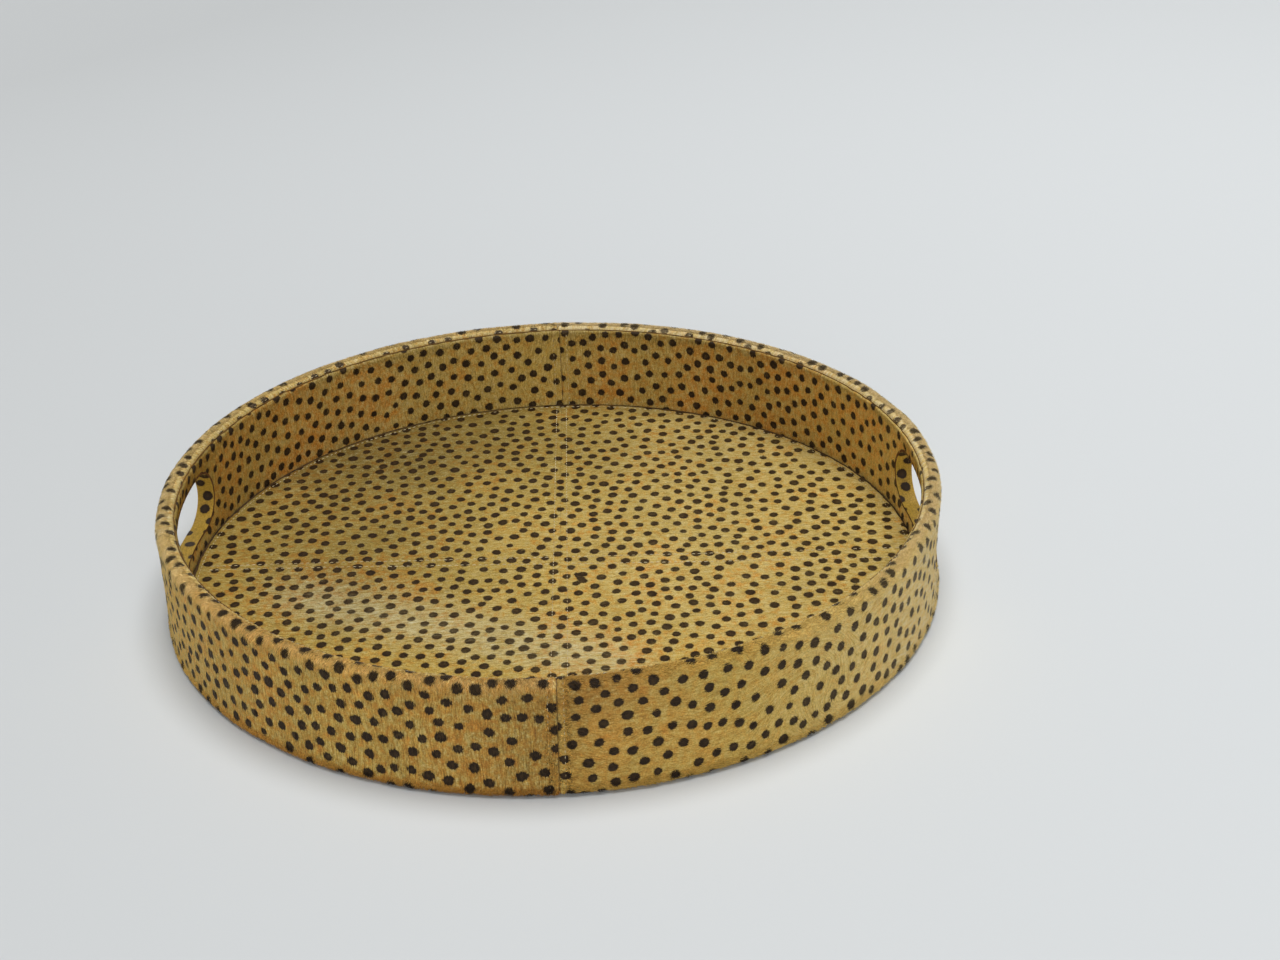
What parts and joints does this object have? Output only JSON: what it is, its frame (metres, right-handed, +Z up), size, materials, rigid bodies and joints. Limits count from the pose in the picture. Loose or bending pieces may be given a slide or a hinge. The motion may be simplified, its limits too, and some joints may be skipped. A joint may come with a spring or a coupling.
{
  "type": "round serving tray",
  "caption": "Round serving tray with upright walls, a hand slot on each side and spotted hair-on hide sewn over a bent plywood hoop and a thin base board.",
  "frame": {"origin": "centre of the underside, on the surface that the tray rests on", "axes": "+Z up; the hand slots face +X and -X; the wall's hide seams stand at +Y (back) and -Y (front)"},
  "size_m": [0.3806, 0.3814, 0.0568],
  "materials": {
    "outer_hide": "hair-on hide, dyed ochre with near-black brown spots, matt",
    "lining_hide": "short-haired hide, dyed orange ochre with near-black brown spots, matt",
    "floor_hide": "short-haired hide, dyed yellow ochre with near-black brown spots, matt",
    "slot_hide": "short-haired hide, dyed saturated yellow with near-black brown spots, satin",
    "plywood": "raw bent plywood",
    "base_board": "raw hardboard",
    "backing_card": "grey fibre card",
    "suede": "dark brown split suede, matt",
    "thread": "pale waxed sewing thread",
    "pin_steel": "plain steel wire"
  },
  "bodies": {
    "root": {"hoop_outer_ply_right": "plywood", "hoop_outer_ply_left": "plywood", "hoop_inner_ply_right": "plywood", "hoop_inner_ply_left": "plywood", "hoop_pin_01": "pin_steel", "hoop_pin_02": "pin_steel", "hoop_pin_03": "pin_steel", "hoop_pin_04": "pin_steel", "hoop_pin_05": "pin_steel", "hoop_pin_06": "pin_steel", "hoop_pin_07": "pin_steel", "hoop_pin_08": "pin_steel", "hoop_pin_09": "pin_steel", "hoop_pin_10": "pin_steel", "hoop_pin_11": "pin_steel", "hoop_pin_12": "pin_steel", "base_board": "base_board", "floor_card": "backing_card", "underside_cover": "suede", "outer_hide_left": "outer_hide", "lining_hide_left": "lining_hide", "slot_liner_left": "slot_hide", "outer_hide_right": "outer_hide", "lining_hide_right": "lining_hide", "slot_liner_right": "slot_hide", "floor_hide_back_right": "floor_hide", "floor_hide_back_left": "floor_hide", "floor_hide_front_left": "floor_hide", "floor_hide_front_right": "floor_hide", "floor_thread_back_left": "thread", "outer_thread_back_left": "thread", "lining_thread_back_left": "thread", "floor_thread_back_right": "thread", "outer_thread_back_right": "thread", "lining_thread_back_right": "thread", "floor_thread_across_back": "thread", "floor_thread_front_left": "thread", "outer_thread_front_left": "thread", "lining_thread_front_left": "thread", "floor_thread_front_right": "thread", "outer_thread_front_right": "thread", "lining_thread_front_right": "thread", "floor_thread_across_front": "thread", "floor_thread_edge": "thread", "rim_thread_left": "thread", "rim_thread_right": "thread"}
  },
  "joints": []
}
